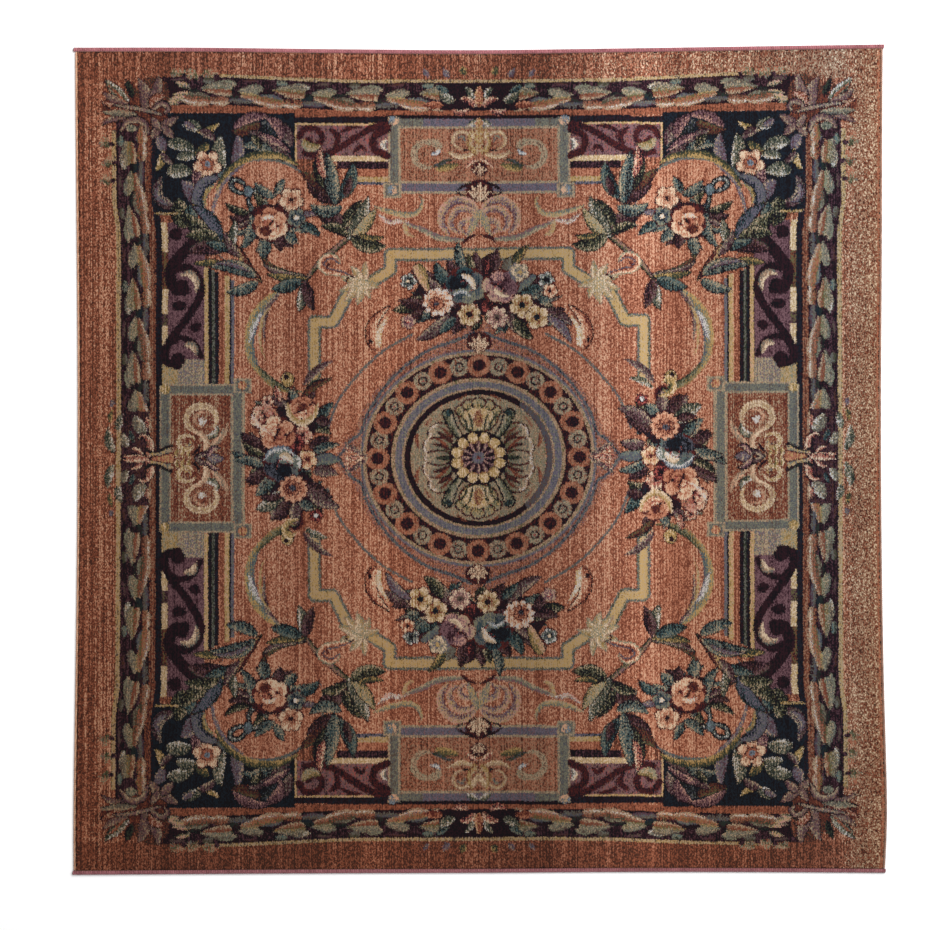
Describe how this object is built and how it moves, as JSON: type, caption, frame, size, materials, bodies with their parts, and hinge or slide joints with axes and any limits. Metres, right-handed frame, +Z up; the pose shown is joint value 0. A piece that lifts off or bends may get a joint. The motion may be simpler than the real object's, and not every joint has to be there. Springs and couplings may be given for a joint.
{
  "type": "square floral pile rug",
  "caption": "Square pile rug with a round rosette, bouquets, scroll panels and a garland border in terracotta, navy and gold, with rose bound ends.",
  "frame": {"origin": "on the underside, below the middle of the rug", "axes": "+X across the rug to the right of the picture, +Y along it to the end at the top of the picture, +Z up out of the pile"},
  "size_m": [2.01, 2.0499, 0.0084],
  "materials": {
    "pile": "short sheared wool pile in many yarn colours, matt",
    "rose_binding": "thick rose yarn wrapped over the end, slight sheen",
    "side_cord": "terracotta yarn wrapped over the side, matt"
  },
  "bodies": {
    "root": {"pile_cloth": "pile", "end_binding_top": "rose_binding", "end_binding_bottom": "rose_binding", "side_cord_left": "side_cord", "side_cord_right": "side_cord"}
  },
  "joints": []
}
